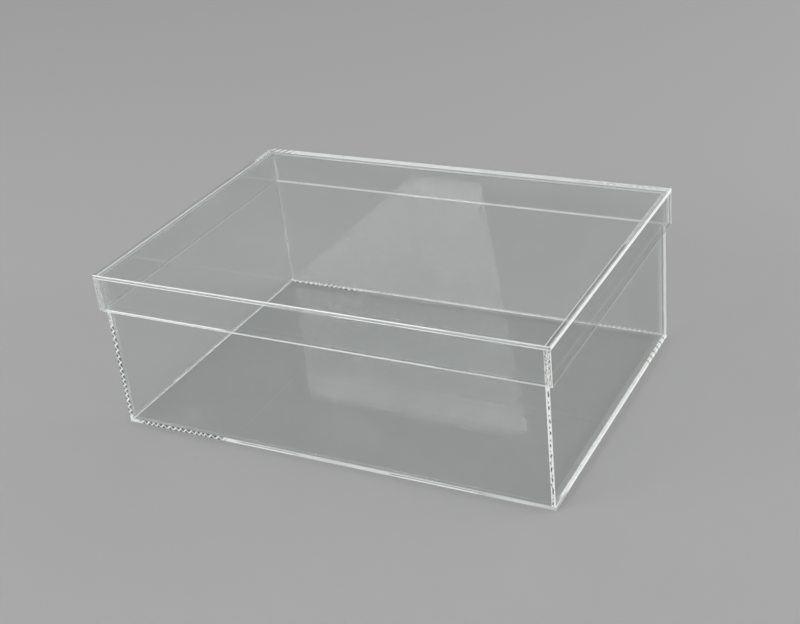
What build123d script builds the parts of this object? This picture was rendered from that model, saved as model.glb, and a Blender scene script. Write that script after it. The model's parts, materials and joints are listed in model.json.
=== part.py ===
from build123d import *
import os

# Clear storage box with a lift-off lid, made only of flat sheet cemented edge to edge.
# Five sheets make an open tray. Five more make a shallow lid that fits over the tray like a cap:
# its top rests on the tops of the tray's walls, and its rim hangs outside them with a little play.
#
# Millimetres, +Z up, X along the length. The origin is the middle of the underside of the base.

# Driving sizes
tray_length = 350.0  # outside, along X
tray_width = 245.0  # outside, along Y
tray_height = 125.0  # from the underside of the base to the tops of the walls
tray_sheet = 3.0  # gauge of the tray's sheet
lid_sheet = 3.0  # gauge of the lid's sheet
lid_depth = 30.0  # from the lid's top face to the lower edge of its rim
lid_play = 0.5  # between a tray wall and the rim outside it, on every side
arris_bevel = 0.3  # scraped along each sawn corner that a hand can reach

# The sides of a sheet, each as the axis that it faces along and its place in order on that axis
SIDES = {
    "left": (Axis.X, 0),
    "right": (Axis.X, -1),
    "front": (Axis.Y, 0),
    "back": (Axis.Y, -1),
    "bottom": (Axis.Z, 0),
    "top": (Axis.Z, -1),
}


def side(sheet, name):
    """The face on one named side of a sheet."""
    axis, place = SIDES[name]
    return sheet.faces().sort_by(axis)[place]


def arris(sheet, first, second):
    """The sharp edge along which two named sides of a sheet meet."""
    shared = side(sheet, second).edges()
    return [edge for edge in side(sheet, first).edges() if any(edge.is_same(e) for e in shared)]


def cut_sheet(span_x, span_y, span_z, bare):
    """A rectangle of sheet between pairs of planes, with its bare arrises scraped to a bevel."""
    sizes = [high - low for low, high in (span_x, span_y, span_z)]
    corner = Pos(span_x[0], span_y[0], span_z[0])
    sheet = corner * Box(*sizes, align=(Align.MIN, Align.MIN, Align.MIN))
    edges = [edge for pair in bare for edge in arris(sheet, *pair)]
    return chamfer(edges, arris_bevel)


def around(face):
    """The four arrises around the top or the bottom of a sheet."""
    return [(face, other) for other in ("left", "right", "front", "back")]


def frame(length, width, gauge, span_z, face):
    """Four sheets on edge round a rectangle, with the arrises round their free face left bare.

    The end sheets run the full width, so their sawn ends show at the front and the back. The long
    sheets stand between them, and their outer faces are flush with those ends.
    """
    end, edge = length / 2, width / 2
    full, between = (-edge, edge), (gauge - end, end - gauge)
    long_bare = [(face, "front"), (face, "back")]
    return {
        "left": cut_sheet(
            (-end, gauge - end), full, span_z, around(face) + [("left", "front"), ("left", "back")]
        ),
        "right": cut_sheet(
            (end - gauge, end), full, span_z, around(face) + [("right", "front"), ("right", "back")]
        ),
        "front": cut_sheet(between, (-edge, gauge - edge), span_z, long_bare),
        "back": cut_sheet(between, (edge - gauge, edge), span_z, long_bare),
    }


def plate(length, width, span_z, face):
    """A sheet lying flat, with its upright corners and the arrises round its free face bare."""
    end, edge = length / 2, width / 2
    upright = [(x, y) for x in ("left", "right") for y in ("front", "back")]
    return cut_sheet((-end, end), (-edge, edge), span_z, around(face) + upright)


def tray():
    """The open box: the base lies under all four walls, so its sawn edge shows on every side."""
    walls = frame(tray_length, tray_width, tray_sheet, (tray_sheet, tray_height), "top")
    parts = {"base": plate(tray_length, tray_width, (0, tray_sheet), "bottom")}
    parts.update({f"{name}_wall": wall for name, wall in walls.items()})
    return parts


def lid():
    """The cap: its top lies over all four rim strips, and rests on the tray's walls."""
    reach = 2 * (lid_play + lid_sheet)
    length, width = tray_length + reach, tray_width + reach
    top = tray_height + lid_sheet
    rims = frame(length, width, lid_sheet, (top - lid_depth, tray_height), "bottom")
    parts = {"lid_top": plate(length, width, (tray_height, top), "top")}
    parts.update({f"lid_{name}_rim": rim for name, rim in rims.items()})
    return parts


os.makedirs("parts", exist_ok=True)
for node, solid in {**tray(), **lid()}.items():
    export_step(solid, f"parts/{node}.step")
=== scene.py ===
import json
import math

import bmesh
import bpy
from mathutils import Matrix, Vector, noise


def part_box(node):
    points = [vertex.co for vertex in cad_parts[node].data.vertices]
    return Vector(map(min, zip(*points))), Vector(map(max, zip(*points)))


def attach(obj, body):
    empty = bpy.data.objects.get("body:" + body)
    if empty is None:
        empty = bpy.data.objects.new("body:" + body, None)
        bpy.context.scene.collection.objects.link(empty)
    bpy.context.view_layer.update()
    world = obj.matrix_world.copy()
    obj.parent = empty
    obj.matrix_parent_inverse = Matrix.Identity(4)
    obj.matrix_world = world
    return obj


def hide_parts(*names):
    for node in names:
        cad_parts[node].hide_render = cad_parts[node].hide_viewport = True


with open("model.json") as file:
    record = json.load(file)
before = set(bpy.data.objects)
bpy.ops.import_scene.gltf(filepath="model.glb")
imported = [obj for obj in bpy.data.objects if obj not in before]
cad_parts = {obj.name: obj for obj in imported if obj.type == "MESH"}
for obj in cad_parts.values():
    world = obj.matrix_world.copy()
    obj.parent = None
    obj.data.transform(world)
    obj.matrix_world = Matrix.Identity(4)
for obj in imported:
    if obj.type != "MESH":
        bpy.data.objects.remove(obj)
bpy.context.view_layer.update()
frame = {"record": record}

# Clear storage box of cemented flat sheet with a lift-off lid. Every sheet is a closed mesh: two
# polished faces, and around them the sawn edges, with their scraped arrises and saw marks, or the
# edges that are cemented to a neighbour. A thin fillet of white cement lies in each inner corner,
# where it also stands in for the bright line along the joint: a painted highlight.

MM = 0.001

# The sides of a sheet, each as its axis and the way that it faces
SIDES = {
    "left": (0, -1),
    "right": (0, 1),
    "front": (1, -1),
    "back": (1, 1),
    "bottom": (2, -1),
    "top": (2, 1),
}

# Which edges of each sheet are bare. Its other edges are cemented to a neighbour.
BARE_EDGES = {
    "base": ("left", "right", "front", "back"),
    "left_wall": ("front", "back", "top"),
    "right_wall": ("front", "back", "top"),
    "front_wall": ("top",),
    "back_wall": ("top",),
    "lid_top": ("left", "right", "front", "back"),
    "lid_left_rim": ("front", "back", "bottom"),
    "lid_right_rim": ("front", "back", "bottom"),
    "lid_front_rim": ("bottom",),
    "lid_back_rim": ("bottom",),
}

# How the edges look, after the photograph where it shows them. Each entry is a kind of mark, the
# shares of the edge's length between which it lies, and how clear the sheet is there. Where marks
# overlap the clearer one counts, and elsewhere the edge is white.
EDGE_MARKS = {
    ("base", "front"): [
        ("zigzag", 0.025, 0.25, 1.0),
        ("sill", 0.28, 0.44, 0.8),
        ("ledge", 0.28, 0.44, 0.4),
        ("dull", 0.41, 0.67, 0.4),
        ("sill", 0.64, 0.86, 0.8),
        ("ledge", 0.64, 0.86, 0.4),
        ("dull", 0.83, 1.0, 0.5),
        ("dull", 0.0, 1.0, 0.22),
    ],
    ("base", "right"): [("band", 0.0, 0.08, 0.9), ("ticks", 0.8, 1.0, 0.7)],
    ("base", "back"): [("zigzag", 0.0, 0.2, 1.0), ("line", 0.2, 1.0, 0.7), ("dull", 0.5, 1.0, 0.5)],
    ("base", "left"): [("dull", 0.0, 0.25, 0.95), ("dull", 0.25, 1.0, 0.7)],
    ("left_wall", "front"): [
        ("zigzag", 0.02, 0.68, 1.0),
        ("speckle", 0.68, 0.8, 0.9),
        ("dull", 0.0, 0.76, 0.15),
        ("dull", 0.78, 1.0, 0.95),
    ],
    ("left_wall", "back"): [("dull", 0.0, 1.0, 0.95)],
    ("left_wall", "top"): [("dull", 0.0, 1.0, 0.95)],
    ("right_wall", "front"): [
        ("spots", 0.0, 0.74, 1.0),
        ("groove", 0.0, 0.35, 0.5),
        ("groove", 0.3, 0.74, 0.3),
        ("speckle", 0.77, 1.0, 1.0),
        ("dull", 0.0, 1.0, 0.15),
    ],
    ("right_wall", "back"): [("broad", 0.0, 1.0, 1.0), ("dull", 0.78, 1.0, 0.85)],
    ("right_wall", "top"): [("foot", 0.0, 0.62, 1.0), ("flecks", 0.6, 1.0, 0.3)],
    ("right_wall", "bottom"): [
        ("broad", 0.0, 1.0, 1.0),
        ("dull", 0.0, 0.05, 0.7),
        ("ticks", 0.8, 1.0, 0.7),
    ],
    ("front_wall", "top"): [("dull", 0.0, 1.0, 0.8)],
    ("front_wall", "left"): [("dull", 0.0, 1.0, 1.0)],
    ("front_wall", "right"): [("dull", 0.0, 1.0, 1.0)],
    ("front_wall", "bottom"): [("dull", 0.0, 1.0, 1.0)],
    ("back_wall", "top"): [
        ("broad", 0.0, 1.0, 0.9),
        ("dull", 0.0, 0.15, 0.5),
        ("dull", 0.55, 1.0, 0.4),
    ],
    ("back_wall", "bottom"): [
        ("beads", 0.0, 0.35, 1.0),
        ("dull", 0.33, 0.82, 0.5),
        ("beads", 0.8, 1.0, 1.0),
    ],
    ("lid_top", "front"): [
        ("band", 0.0, 0.45, 1.0),
        ("line", 0.42, 0.56, 0.9),
        ("band", 0.54, 1.0, 1.0),
        ("dull", 0.8, 1.0, 0.35),
    ],
    # The lid's right edge faces the rim lamp, and its light dulling is painted shade that tones it
    # down.
    ("lid_top", "right"): [("dull", 0.0, 1.0, 0.15)],
    ("lid_top", "back"): [
        ("rope", 0.0, 0.06, 0.8),
        ("dull", 0.06, 0.6, 0.04),
        ("dull", 0.55, 1.0, 0.15),
        ("flecks", 0.78, 1.0, 0.35),
    ],
    ("lid_top", "left"): [
        ("sole", 0.0, 0.9, 1.0),
        ("dull", 0.0, 0.9, 0.35),
        ("rope", 0.89, 1.0, 0.8),
    ],
    ("lid_left_rim", "front"): [("speckle", 0.0, 1.0, 1.0), ("dull", 0.0, 1.0, 0.6)],
    ("lid_left_rim", "back"): [("dull", 0.0, 1.0, 0.85)],
    ("lid_left_rim", "bottom"): [("line", 0.0, 1.0, 0.9)],
    ("lid_right_rim", "front"): [("speckle", 0.0, 1.0, 1.0), ("dull", 0.0, 1.0, 0.1)],
    ("lid_right_rim", "back"): [("groove", 0.0, 1.0, 1.0)],
    ("lid_right_rim", "bottom"): [("line", 0.0, 1.0, 0.95), ("dull", 0.0, 1.0, 0.35)],
    ("lid_right_rim", "top"): [("dull", 0.0, 1.0, 1.0)],
    ("lid_front_rim", "left"): [("dull", 0.0, 1.0, 0.6)],
    ("lid_front_rim", "bottom"): [("ledge", 0.3, 1.0, 0.9), ("dull", 0.78, 1.0, 0.35)],
    ("lid_front_rim", "top"): [("dull", 0.0, 1.0, 0.6)],
}
USUAL_CEMENT = 0.12  # how white every other cemented edge is

SEAM = 0.06 * MM  # between sheets that touch, so that their faces don't lie in one plane
ARRIS_DEEP = 0.3 * MM  # how far a scraped corner reaches across the sawn edge
ARRIS_WIDE = 0.45 * MM  # and how far it reaches over the polished face
CEMENTED_ARRIS = 0.02 * MM  # a cemented edge keeps its corner sharp
MARK_STEP = 0.4 * MM  # between points along a sawn edge
MARK_COLUMNS = 9  # points across a sawn edge, between its arrises
ZIGZAG_PITCH = 4.9 * MM  # from one saw tooth's mark to the next, in each kind of mark
ROPE_PITCH = 6.0 * MM
SPOT_PITCH = 9.4 * MM
TICK_PITCH = 7.7 * MM
BEAD_PITCH = 4.4 * MM
MARK_DEPTH = 0.15 * MM  # of a mark's floor below the sawn face
GRAIN_DEPTH = 0.03 * MM  # of the sawn face's own roughness
GRAIN_ALONG = 0.7 * MM  # size of that roughness along the edge
GRAIN_ACROSS = 0.5 * MM  # and across it
MARK_FADE = 0.02  # share of the edge over which a mark fades, each side of its start and end
BORDER_BLUR = 0.06  # the same for a strip's borders, as a share of the sheet's gauge
FAINTEST_MARK = 0.01  # a mark fainter than this isn't worked out
SEEDS_PER_SHEET = 5.0
MERGE_DISTANCE = 0.001 * MM  # points closer than this are one
FILLET = 0.42 * MM  # leg of the cement's fillet, less than the play between lid and tray
FILLET_STEP = 2.5 * MM
FAINT_FILLET = 0.25  # size of the fillets along the front wall and in the upright corners


def smooth(low, high, value):
    """0 below low, 1 above high, and an even ramp between."""
    share = min(max((value - low) / (high - low), 0.0), 1.0)
    return share * share * (3 - 2 * share)


def wander(along, length, seed):
    """Slow change along an edge, about -1 to 1, over the given length."""
    return noise.noise(Vector((along / length, seed, 0.5)))


def tooth(along, pitch, seed):
    """How many saw teeth have passed, with a little unevenness."""
    return along / pitch + 0.5 * wander(along, 16 * MM, seed)


def wave(phase):
    """1 at each whole phase, 0 half way between."""
    return 0.5 + 0.5 * math.cos(2 * math.pi * phase)


def zigzag(along, across, seed):
    """A white line that swings from face to face, and is thicker on its way across than back."""
    phase = tooth(along, ZIGZAG_PITCH, seed)
    place = phase - math.floor(phase + 0.5)
    swing = 0.44 + 0.12 * wander(along, 7 * MM, seed + 3)
    gap = abs(across - 0.5 - swing * (4 * abs(place) - 1))
    half = 0.18 + 0.06 * math.sin(2 * math.pi * place)
    return smooth(half, half + 0.15, gap)


def rope(along, across, seed):
    """White slanted flecks with duller gaps between them, like the strands of a rope."""
    return smooth(0.3, 0.65, wave(tooth(along, ROPE_PITCH, seed) - 1.3 * across))


def ticks(along, across, seed):
    """Narrow clear ticks across the edge."""
    return smooth(0.8, 0.95, wave(along / TICK_PITCH + 0.15 * across))


def beads(along, across, seed):
    """White beads in clear cement."""
    return 0.8 - 0.55 * wave(tooth(along, BEAD_PITCH, seed))


def flecks(along, across, seed):
    """Bright flecks of uneven size on a duller strip, between two white borders."""
    place = Vector((along / (2.6 * MM) + 1.2 * across, across * 2.2, seed + 17))
    inside = 1 - smooth(0.3, 0.4, abs(across - 0.5))
    return inside * (1 - smooth(-0.05, 0.2, noise.noise(place)))


def spots(along, across, seed):
    """Long clear spots down the middle, each with a short faint one beside it, some slanted."""
    phase = tooth(along, SPOT_PITCH, seed)
    place = phase - math.floor(phase)
    size = 0.9 + 0.5 * wander(along, 9 * MM, seed + 11)
    long_spot = 1 - smooth(0.15 * size, 0.3 * size, abs(place - 0.3))
    short_spot = 0.8 * (1 - smooth(0.05 * size, 0.17 * size, abs(place - 0.73)))
    centre = 0.5 + 0.35 * wander(along, 3 * MM, seed + 7)
    return max(long_spot, short_spot) * (1 - smooth(0.1, 0.24, abs(across - centre)))


def strip(along, across, seed, start, end):
    """Clear from start to end across the edge, with borders that waver a little."""
    place = across + 0.04 * wander(along, 12 * MM, seed + 13)
    begun = smooth(start - BORDER_BLUR, start + BORDER_BLUR, place)
    ended = smooth(end - BORDER_BLUR, end + BORDER_BLUR, place)
    return begun * (1 - ended)


def band(along, across, seed):
    """Clear down the middle, between two thin white lines."""
    return strip(along, across, seed, 0.26, 0.74)


def groove(along, across, seed):
    """The same, but narrower."""
    return strip(along, across, seed, 0.37, 0.63)


def sill(along, across, seed):
    """The same, but nearer to the upper face."""
    return strip(along, across, seed, 0.5, 0.8)


def line(along, across, seed):
    """A white line along the upper, right or back face, and the rest clear."""
    return strip(along, across, seed, -1.0, 0.74)


def broad(along, across, seed):
    """The same, but the white line covers most of the edge."""
    return strip(along, across, seed, -1.0, 0.26)


def foot(along, across, seed):
    """A white line along the lower, left or front face, and the rest clear."""
    return strip(along, across, seed, 0.4, 2.0)


def sole(along, across, seed):
    """The same, but a thinner line."""
    return strip(along, across, seed, 0.22, 2.0)


def ledge(along, across, seed):
    """The same, but a line wider than both."""
    return strip(along, across, seed, 0.78, 2.0)


def dull(along, across, seed):
    """Not scraped, and evenly frosted. Used lightly on the lid's brightly lit right edge, it is
    painted shade.
    """
    return 0.9 + 0.2 * wander(along, 20 * MM, seed + 19)


def speckle(along, across, seed):
    """Grey frost with fine clear pits, between two white borders."""
    pits = noise.noise(Vector((along / (1.3 * MM), across * 2.6, seed + 17)))
    inside = 1 - smooth(0.34, 0.42, abs(across - 0.5))
    return inside * (0.45 + 0.55 * smooth(-0.05, 0.2, pits))


MARKS = {
    "zigzag": zigzag,
    "rope": rope,
    "ticks": ticks,
    "beads": beads,
    "flecks": flecks,
    "spots": spots,
    "band": band,
    "groove": groove,
    "sill": sill,
    "line": line,
    "broad": broad,
    "foot": foot,
    "sole": sole,
    "ledge": ledge,
    "dull": dull,
    "speckle": speckle,
}
DEEP_SHADED_MARKS = ("zigzag", "spots")  # cut deep, with painted shade on their floors


def frost(along, across, share, marks, seed):
    """How white a point of an edge is, and how deep a mark is there, each from 0 to 1.

    along is in metres, across from 0 at one face to 1 at the other, and share is the place along
    the whole edge.
    """
    clear = deep = 0.0
    for kind, start, end, strength in marks:
        near_start = 1.0 if start <= 0 else smooth(start - MARK_FADE, start + MARK_FADE, share)
        near_end = 1.0 if end >= 1 else 1 - smooth(end - MARK_FADE, end + MARK_FADE, share)
        here = strength * near_start * near_end
        if here > FAINTEST_MARK:
            mark = here * MARKS[kind](along, across, seed)
            clear = max(clear, mark)
            deep = max(deep, mark if kind in DEEP_SHADED_MARKS else 0.0)
    return min(max(1.0 - clear, 0.0), 1.0), min(deep, 1.0)


class Sheet:
    """The mesh of one sheet, built as rings that follow its outline, closed by its two faces."""

    def __init__(self, node):
        self.node = node
        self.low, self.high = [list(corner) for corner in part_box(node)]
        sizes = [high - low for low, high in zip(self.low, self.high)]
        self.thin = sizes.index(min(sizes))
        self.flat = [axis for axis in range(3) if axis != self.thin]
        self.gauge = sizes[self.thin]
        self.bare = BARE_EDGES[node]
        self.vertices, self.faces, self.looks = [], [], []
        self.frosts, self.depth_and_shade = [], []
        self.pull_in_seams()
        self.build()

    def pull_in_seams(self):
        """Draws each cemented edge, and the top of a tray wall, back from what it touches."""
        for name, (axis, way) in SIDES.items():
            under_lid = name == "top" and self.node.endswith("_wall")
            if axis != self.thin and (name not in self.bare or under_lid):
                corner = self.high if way > 0 else self.low
                corner[axis] -= way * SEAM

    def outline(self):
        """The sheet's edges in turn, each as its side, the axis that it runs along and its way."""
        first, second = self.flat
        by_place = {place: name for name, place in SIDES.items()}
        return [
            (by_place[second, -1], first, 1),
            (by_place[first, 1], second, 1),
            (by_place[second, 1], first, -1),
            (by_place[first, -1], second, -1),
        ]

    def deep(self, name):
        """How far the corners of an edge are scraped across it."""
        return ARRIS_DEEP if name in self.bare else CEMENTED_ARRIS

    def wide(self, name):
        """How far the corners of an edge are scraped over the polished faces."""
        return ARRIS_WIDE if name in self.bare else CEMENTED_ARRIS

    def columns(self, name):
        """Places across an edge, from one polished face to the other."""
        deep = self.deep(name)
        step = (self.gauge - 2 * deep) / (MARK_COLUMNS - 1)
        return [0.0] + [deep + step * i for i in range(MARK_COLUMNS)] + [self.gauge]

    def ring(self, name, run, at, face_at, seed):
        """Adds the points across an edge at one place along it."""
        axis, way = SIDES[name]
        plane = self.high[axis] if way > 0 else self.low[axis]
        along = at - self.low[run]
        share = along / (self.high[run] - self.low[run])
        marks = EDGE_MARKS.get((self.node, name), [])
        places = self.columns(name)
        first, last = len(self.vertices), len(places) - 1
        for index, place in enumerate(places):
            on_face = index in (0, last)
            white, deep = USUAL_CEMENT, 0.0
            inset = self.wide(name) if on_face else 0.0
            if marks or name in self.bare:
                white, deep = frost(along, place / self.gauge, share, marks, seed)
            if name in self.bare and 1 < index < last - 1:
                grain = noise.noise(Vector((at / GRAIN_ALONG, place / GRAIN_ACROSS, seed)))
                inset = MARK_DEPTH * deep + GRAIN_DEPTH * abs(grain)
            point = [0.0, 0.0, 0.0]
            point[axis] = plane - way * inset
            point[run] = face_at if on_face else at
            point[self.thin] = self.low[self.thin] + place
            self.vertices.append(point)
            self.frosts.append(white)
            self.depth_and_shade.append(deep)
        return range(first, first + len(places))

    def edge_rings(self, index, name, run, way, before, after):
        """The rings of one edge, from the neighbour before it to the one after."""
        low_side, high_side = (before, after) if way > 0 else (after, before)
        start = self.low[run] + self.deep(low_side)
        end = self.high[run] - self.deep(high_side)
        face_start = self.low[run] + self.wide(low_side)
        face_end = self.high[run] - self.wide(high_side)
        marked = name in self.bare or (self.node, name) in EDGE_MARKS
        steps = max(1, round((end - start) / MARK_STEP)) if marked else 1
        places = [start + (end - start) * i / steps for i in range(steps + 1)]
        seed = SEEDS_PER_SHEET * sorted(BARE_EDGES).index(self.node) + index
        return [
            self.ring(name, run, at, min(max(at, face_start), face_end), seed)
            for at in places[::way]
        ]

    def build(self):
        """Makes the rings of all four edges, joins them, and closes the two faces."""
        edges = self.outline()
        names = [edge[0] for edge in edges]
        rings, owners = [], []
        for index, (name, run, way) in enumerate(edges):
            before, after = names[index - 1], names[(index + 1) % 4]
            new = self.edge_rings(index, name, run, way, before, after)
            rings += new
            owners += [name] * len(new)
        for i, ring in enumerate(rings):
            j = (i + 1) % len(rings)
            self.join(ring, rings[j], owners[i], owners[j])
        for cap in ([ring[0] for ring in reversed(rings)], [ring[-1] for ring in rings]):
            self.faces.append(cap)
            self.looks.append("clear")

    def join(self, ring, following, owner, next_owner):
        """The faces between two neighbouring rings."""
        last = len(ring) - 2
        for k in range(last + 1):
            self.faces.append((ring[k], following[k], following[k + 1], ring[k + 1]))
            if owner not in self.bare and next_owner not in self.bare:
                self.looks.append("cemented")
            elif owner != next_owner or k in (0, last):
                self.looks.append("arris")
            else:
                self.looks.append("sawn")


def nodes_of(owner, kind="ShaderNodeOutputMaterial"):
    """Clears a material's or world's node tree, and gives short calls to add and join nodes."""
    owner.use_nodes = True
    tree = owner.node_tree
    tree.nodes.clear()

    def add(kind, **settings):
        node = tree.nodes.new(kind)
        for name, value in settings.items():
            setattr(node, name, value)
        return node

    return add, tree.links.new, add(kind)


def object_noise(add, link, scale, detail, distortion=0.0):
    """Noise over the part's own coordinates, at scale features to the metre."""
    place = add("ShaderNodeTexCoord")
    texture = add("ShaderNodeTexNoise")
    texture.inputs["Scale"].default_value = scale
    texture.inputs["Detail"].default_value = detail
    texture.inputs["Distortion"].default_value = distortion
    link(place.outputs["Object"], texture.inputs["Vector"])
    return texture.outputs["Fac"]


def ramp(add, link, source, low, high, out_low, out_high, shape="LINEAR"):
    """A number that goes from out_low to out_high as source goes from low to high."""
    node = add("ShaderNodeMapRange", interpolation_type=shape)
    node.inputs["From Min"].default_value = low
    node.inputs["From Max"].default_value = high
    node.inputs["To Min"].default_value = out_low
    node.inputs["To Max"].default_value = out_high
    link(source, node.inputs["Value"])
    return node.outputs["Result"]


def colour_mix(add, link, factor, low, high):
    """A colour that goes from low to high as factor goes from 0 to 1."""
    node = add("ShaderNodeMix", data_type="RGBA")
    node.inputs["A"].default_value = (*low, 1.0)
    node.inputs["B"].default_value = (*high, 1.0)
    link(factor, node.inputs["Factor"])
    return node.outputs["Result"]


def combine(add, link, operation, first, second):
    """A number made of two, each an output socket or a plain value."""
    node = add("ShaderNodeMath", operation=operation)
    for socket, source in zip(node.inputs, (first, second)):
        if isinstance(source, float):
            socket.default_value = source
        else:
            link(source, socket)
    return node.outputs["Value"]


def mix_shaders(add, link, factor, first, second):
    """A mix of two shader nodes. factor is the second one's share, a socket or a plain value."""
    mix = add("ShaderNodeMixShader")
    if isinstance(factor, float):
        mix.inputs["Fac"].default_value = factor
    else:
        link(factor, mix.inputs["Fac"])
    link(first.outputs[0], mix.inputs[1])
    link(second.outputs[0], mix.inputs[2])
    return mix


HEAD_ON_MIRROR = 0.039  # what a face of acrylic mirrors of light that meets it squarely
ACRYLIC_IOR = 1.49
GLOW_THROUGH = 0.15  # share of light that a frosted edge lets through
CLEAR_CUT = (0.84, 0.87, 0.86)  # what a clear part of a sawn edge lets through
DEEP_CUT_PAINTED_SHADE = (0.4, 0.43, 0.42)  # and what the floor of a deep mark lets through, darkened as painted shade in the cut
SHEET_TINT = (0.99, 0.996, 0.993)  # what a polished face lets through
FILM_COLOUR = (0.9, 0.92, 0.91)  # of the smears on a polished face
FILM_SHARE = 0.02  # share of the light that the smears scatter at most
SMEAR_ROUGHNESS = 0.06
ARRIS_DULL = (0.88, 0.9, 0.89)  # frost and cement are grained, from a dull white to a bright one
SAWN_DULL = (0.85, 0.87, 0.86)
FROST_BRIGHT = (0.94, 0.95, 0.94)
BUBBLE_WHITE = (0.92, 0.94, 0.92)
CEMENT_DULL = (0.84, 0.87, 0.85)
CEMENT_BRIGHT = (0.95, 0.96, 0.94)

# How fine the noise in each material is, in features to the metre
SMEAR_SCALE = 22.0
RIPPLE_SCALE = 14.0
ARRIS_SCALE = 900.0
SCRATCH_SCALE = 1400.0
BUBBLE_SCALE = 420.0
CEMENT_SCALE = 260.0


def clear_material():
    """Polished cast sheet: clear, a mirror at flat angles, with faint smears from handling."""
    material = bpy.data.materials.new("clear_sheet")
    add, link, output = nodes_of(material)
    facing = add("ShaderNodeLayerWeight")
    facing.inputs["Blend"].default_value = 0.5
    slope = combine(add, link, "POWER", facing.outputs["Facing"], 5.0)
    mirrored = ramp(add, link, slope, 0.0, 1.0, HEAD_ON_MIRROR, 1.0)
    clear = add("ShaderNodeBsdfTransparent")
    clear.inputs["Color"].default_value = (*SHEET_TINT, 1.0)
    mirror = add("ShaderNodeBsdfGlossy")
    smears = object_noise(add, link, SMEAR_SCALE, 4.0, 0.6)
    link(ramp(add, link, smears, 0.5, 0.75, 0.0, SMEAR_ROUGHNESS), mirror.inputs["Roughness"])
    bump = add("ShaderNodeBump")
    bump.inputs["Strength"].default_value = 0.05
    bump.inputs["Distance"].default_value = 0.3 * MM
    link(object_noise(add, link, RIPPLE_SCALE, 1.0), bump.inputs["Height"])
    link(bump.outputs["Normal"], mirror.inputs["Normal"])
    polished = mix_shaders(add, link, mirrored, clear, mirror)
    film = add("ShaderNodeBsdfDiffuse")
    film.inputs["Color"].default_value = (*FILM_COLOUR, 1.0)
    share = ramp(add, link, smears, 0.52, 0.8, 0.0, FILM_SHARE)
    link(mix_shaders(add, link, share, polished, film).outputs["Shader"], output.inputs["Surface"])
    return material


def frosted(add, link, output, share, colour, roughness):
    """White, scattering and letting light through where share is 1, and clear where it is 0."""
    shader = add("ShaderNodeBsdfPrincipled")
    shader.inputs["Roughness"].default_value = roughness
    shader.inputs["IOR"].default_value = ACRYLIC_IOR
    through = add("ShaderNodeBsdfTranslucent")
    link(colour, shader.inputs["Base Color"])
    link(colour, through.inputs["Color"])
    white = mix_shaders(add, link, GLOW_THROUGH, shader, through)
    # Clear parts of an edge let light through, and the floors of deep marks let less: painted shade
    # in the cuts.
    cut = add("ShaderNodeBsdfTransparent")
    deep = add("ShaderNodeAttribute", attribute_name="deep").outputs["Fac"]
    link(colour_mix(add, link, deep, CLEAR_CUT, DEEP_CUT_PAINTED_SHADE), cut.inputs["Color"])
    link(mix_shaders(add, link, share, cut, white).outputs["Shader"], output.inputs["Surface"])
    return shader


def arris_material():
    """Scraped corners: the whitest part of an edge."""
    material = bpy.data.materials.new("scraped_arris")
    add, link, output = nodes_of(material)
    share = add("ShaderNodeAttribute", attribute_name="frost").outputs["Fac"]
    grain = ramp(add, link, object_noise(add, link, ARRIS_SCALE, 2.0), 0.35, 0.65, 0.0, 1.0)
    colour = colour_mix(add, link, grain, ARRIS_DULL, FROST_BRIGHT)
    frosted(add, link, output, share, colour, 0.35)
    return material


def sawn_material():
    """Sawn edge: white where it is frosted, clear and deeper in the saw marks."""
    material = bpy.data.materials.new("sawn_edge")
    add, link, output = nodes_of(material)
    share = add("ShaderNodeAttribute", attribute_name="frost").outputs["Fac"]
    scratches = object_noise(add, link, SCRATCH_SCALE, 3.0)
    grain = ramp(add, link, scratches, 0.35, 0.65, 0.0, 1.0)
    colour = colour_mix(add, link, grain, SAWN_DULL, FROST_BRIGHT)
    shader = frosted(add, link, output, share, colour, 0.5)
    bump = add("ShaderNodeBump")
    bump.inputs["Strength"].default_value = 0.3
    bump.inputs["Distance"].default_value = 0.05 * MM
    link(scratches, bump.inputs["Height"])
    link(bump.outputs["Normal"], shader.inputs["Normal"])
    return material


def cemented_material():
    """Cemented edge: clear, with white flecks where the cement holds fine bubbles."""
    material = bpy.data.materials.new("cemented_edge")
    add, link, output = nodes_of(material)
    clear = add("ShaderNodeBsdfTransparent")
    flecks = add("ShaderNodeBsdfDiffuse")
    flecks.inputs["Color"].default_value = (*BUBBLE_WHITE, 1.0)
    bubbles = ramp(add, link, object_noise(add, link, BUBBLE_SCALE, 3.0), 0.35, 0.55, 0.8, 1.05)
    white = add("ShaderNodeAttribute", attribute_name="frost")
    share = combine(add, link, "MULTIPLY", white.outputs["Fac"], bubbles)
    link(mix_shaders(add, link, share, clear, flecks).outputs["Shader"], output.inputs["Surface"])
    return material


def cement_highlight_material():
    """Set cement in the inner corners: milky, whiter where it holds bubbles. Its white also draws
    the bright line along each joint, a painted highlight.
    """
    material = bpy.data.materials.new("set_cement_highlight")
    add, link, output = nodes_of(material)
    texture = object_noise(add, link, CEMENT_SCALE, 3.0)
    milk = ramp(add, link, texture, 0.4, 0.6, 0.0, 1.0)
    colour = colour_mix(add, link, milk, CEMENT_DULL, CEMENT_BRIGHT)
    share = ramp(add, link, texture, 0.35, 0.55, 0.7, 1.0)
    frosted(add, link, output, share, colour, 0.3)
    return material


LOOKS = {
    "clear": clear_material(),
    "arris": arris_material(),
    "sawn": sawn_material(),
    "cemented": cemented_material(),
}


def add_piece(name, mesh, body):
    """Closes up a mesh, and adds it as a piece that rides on a body."""
    work = bmesh.new()
    work.from_mesh(mesh)
    bmesh.ops.remove_doubles(work, verts=work.verts, dist=MERGE_DISTANCE)
    bmesh.ops.recalc_face_normals(work, faces=work.faces)
    work.to_mesh(mesh)
    work.free()
    piece = bpy.data.objects.new(name, mesh)
    bpy.context.scene.collection.objects.link(piece)
    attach(piece, body)
    return piece


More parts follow.
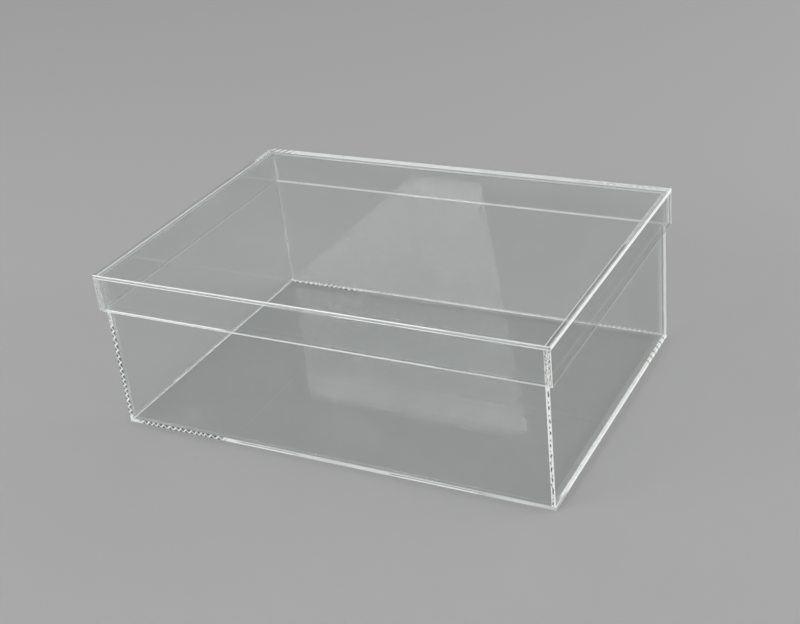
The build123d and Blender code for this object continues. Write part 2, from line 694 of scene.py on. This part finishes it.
def make_sheet(node, body):
    """Builds one sheet and puts it in the place of its CAD node."""
    sheet = Sheet(node)
    mesh = bpy.data.meshes.new(node + "_sheet")
    mesh.from_pydata(sheet.vertices, [], sheet.faces)
    order = list(LOOKS)
    for look in order:
        mesh.materials.append(LOOKS[look])
    for polygon, look in zip(mesh.polygons, sheet.looks):
        polygon.material_index = order.index(look)
    for name, values in (("frost", sheet.frosts), ("deep", sheet.depth_and_shade)):
        mesh.attributes.new(name, "FLOAT", "POINT").data.foreach_set("value", values)
    piece = add_piece(node + "_sheet", mesh, body)
    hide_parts(node)


# The inner corners that hold cement: the two sheets that meet there, and the side of each that
# faces into the corner
CEMENTED_CORNERS = {
    "tray": [
        ("base", "top", "left_wall", "right"),
        ("base", "top", "right_wall", "left"),
        ("base", "top", "front_wall", "back"),
        ("base", "top", "back_wall", "front"),
        ("left_wall", "right", "front_wall", "back"),
        ("left_wall", "right", "back_wall", "front"),
        ("right_wall", "left", "front_wall", "back"),
        ("right_wall", "left", "back_wall", "front"),
    ],
    "lid": [
        ("lid_top", "bottom", "lid_left_rim", "right"),
        ("lid_top", "bottom", "lid_right_rim", "left"),
        ("lid_top", "bottom", "lid_front_rim", "back"),
        ("lid_top", "bottom", "lid_back_rim", "front"),
        ("lid_left_rim", "right", "lid_front_rim", "back"),
        ("lid_left_rim", "right", "lid_back_rim", "front"),
        ("lid_right_rim", "left", "lid_front_rim", "back"),
        ("lid_right_rim", "left", "lid_back_rim", "front"),
    ],
}
FILLET_PROFILE = [(0.0, 0.0), (1.0, 0.0), (0.62, 0.1), (0.29, 0.29), (0.1, 0.62), (0.0, 1.0)]


def plane_of(node, name):
    """The axis of a node's side, the way that it faces, and where it lies."""
    axis, way = SIDES[name]
    low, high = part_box(node)
    return axis, way, (high if way > 0 else low)[axis]


def fillet(corner, seed, vertices, faces):
    """Adds one fillet of cement, thicker and thinner along its length."""
    first_axis, first_way, first_at = plane_of(*corner[:2])
    second_axis, second_way, second_at = plane_of(*corner[2:])
    run = 3 - first_axis - second_axis
    spans = [[end[run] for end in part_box(node)] for node in (corner[0], corner[2])]
    start = max(span[0] for span in spans) + FILLET
    end = min(span[1] for span in spans) - FILLET
    steps = round((end - start) / FILLET_STEP)
    size = FILLET * (FAINT_FILLET if run == 2 or "front_wall" in corner else 1.0)
    sides = len(FILLET_PROFILE)
    base = len(vertices)
    for step in range(steps + 1):
        at = start + (end - start) * step / steps
        leg = size * (0.82 + 0.18 * wander(at, 11 * MM, seed))
        for over_first, over_second in FILLET_PROFILE:
            point = [0.0, 0.0, 0.0]
            point[run] = at
            point[first_axis] = first_at + first_way * (SEAM + leg * over_first)
            point[second_axis] = second_at + second_way * (SEAM + leg * over_second)
            vertices.append(point)
        if step:
            for k in range(sides):
                one, two = base + (step - 1) * sides + k, base + (step - 1) * sides + (k + 1) % sides
                faces.append((one, two, two + sides, one + sides))
    faces.append(range(base, base + sides))
    faces.append(range(len(vertices) - sides, len(vertices)))


def make_cement_highlight(body, material):
    """Builds the fillets of one body as one piece."""
    vertices, faces = [], []
    for seed, corner in enumerate(CEMENTED_CORNERS[body]):
        fillet(corner, float(seed), vertices, faces)
    mesh = bpy.data.meshes.new(body + "_cement_highlight")
    mesh.from_pydata(vertices, [], faces)
    mesh.materials.append(material)
    add_piece(body + "_cement_highlight", mesh, body)


cement_highlight = cement_highlight_material()
for body, nodes in frame["record"]["behaviour"]["bodies"].items():
    for node in nodes:
        make_sheet(node, body)
    make_cement_highlight(body, cement_highlight)

# Stage: a grey paper floor that runs into a backdrop of about the same grey
FLOOR_GREY = 0.377
FLOOR_REACH = 8.0
FLOOR_DROP = 0.3 * MM
HORIZON_LIGHT = 1.6
ZENITH_LIGHT = 0.3
BACKDROP_LOW = 0.34
BACKDROP_HIGH = 0.5
SKY_START = 0.25  # the light changes between these heights, where 0 is level and 1 is overhead
SKY_END = 0.85

# The lamps, each with its place, its size, and its radiance, where white paper is 1
LAMPS = [
    ("window", (-1.35, -1.6, 1.15), (1.1, 0.8), 8.0),
    ("rim", (1.9, 1.1, 0.8), (1.0, 1.0), 7.4),
]
LAMP_TARGET = (0, 0, 0.05)

# The camera, fitted to the corners of the box in the photograph
CAMERA_SENSOR = 36.0
CAMERA_LENS = 62.48
CAMERA_PLACE = (0.46672, -0.81570, 0.55690)
CAMERA_ANGLES = (61.944, 5.473, 26.677)


def make_floor():
    """A flat sheet of grey paper, a hair below the box."""
    corners = [(-1, -1), (1, -1), (1, 1), (-1, 1)]
    mesh = bpy.data.meshes.new("floor")
    points = [(x * FLOOR_REACH, y * FLOOR_REACH, -FLOOR_DROP) for x, y in corners]
    mesh.from_pydata(points, [], [(0, 1, 2, 3)])
    material = bpy.data.materials.new("floor_paper")
    add, link, output = nodes_of(material)
    paper = add("ShaderNodeBsdfPrincipled")
    paper.inputs["Base Color"].default_value = (FLOOR_GREY, FLOOR_GREY, FLOOR_GREY, 1.0)
    paper.inputs["Roughness"].default_value = 0.9
    paper.inputs["Specular IOR Level"].default_value = 0.1
    link(paper.outputs["BSDF"], output.inputs["Surface"])
    mesh.materials.append(material)
    floor = bpy.data.objects.new("floor", mesh)
    bpy.context.scene.collection.objects.link(floor)


def make_world():
    """Light from all round, brightest low down. The camera and the glass see a grey backdrop."""
    world = bpy.data.worlds.new("studio")
    bpy.context.scene.world = world
    add, link, output = nodes_of(world, "ShaderNodeOutputWorld")
    direction = add("ShaderNodeTexCoord")
    split = add("ShaderNodeSeparateXYZ")
    link(direction.outputs["Generated"], split.inputs["Vector"])
    height = split.outputs["Z"]
    shades = []
    for low, high in ((HORIZON_LIGHT, ZENITH_LIGHT), (BACKDROP_LOW, BACKDROP_HIGH)):
        shade = add("ShaderNodeBackground")
        shade.inputs["Color"].default_value = (1.0, 1.0, 1.0, 1.0)
        level = ramp(add, link, height, SKY_START, SKY_END, low, high, "SMOOTHSTEP")
        link(level, shade.inputs["Strength"])
        shades.append(shade)
    path = add("ShaderNodeLightPath").outputs
    seen = combine(add, link, "MAXIMUM", path["Is Glossy Ray"], path["Is Transmission Ray"])
    seen = combine(add, link, "MAXIMUM", seen, path["Is Camera Ray"])
    link(mix_shaders(add, link, seen, *shades).outputs["Shader"], output.inputs["Surface"])


def softbox(name, place, size, brightness):
    """A rectangular light that faces the box and that the camera doesn't see."""
    light = bpy.data.lights.new(name, "AREA")
    light.shape = "RECTANGLE"
    light.size, light.size_y = size
    light.energy = brightness * math.pi * size[0] * size[1]
    lamp = bpy.data.objects.new(name, light)
    lamp.location = place
    towards = Vector(LAMP_TARGET) - Vector(place)
    lamp.rotation_euler = towards.to_track_quat("-Z", "Y").to_euler()
    lamp.visible_camera = False
    bpy.context.scene.collection.objects.link(lamp)


def make_camera():
    """Puts the camera at the photograph's angle."""
    data = bpy.data.cameras.new("camera")
    data.sensor_width = CAMERA_SENSOR
    data.lens = CAMERA_LENS
    camera = bpy.data.objects.new("camera", data)
    camera.location = CAMERA_PLACE
    camera.rotation_euler = [math.radians(angle) for angle in CAMERA_ANGLES]
    bpy.context.scene.collection.objects.link(camera)
    bpy.context.scene.camera = camera


make_floor()
make_world()
for lamp_values in LAMPS:
    softbox(*lamp_values)
make_camera()

scene = bpy.context.scene
scene.view_settings.view_transform = "Standard"
# Sharp mirror images, and enough bounces for light that crosses pane after pane
scene.cycles.blur_glossy = 0.0
scene.cycles.max_bounces = 16
scene.cycles.glossy_bounces = 8
scene.cycles.transparent_max_bounces = 48
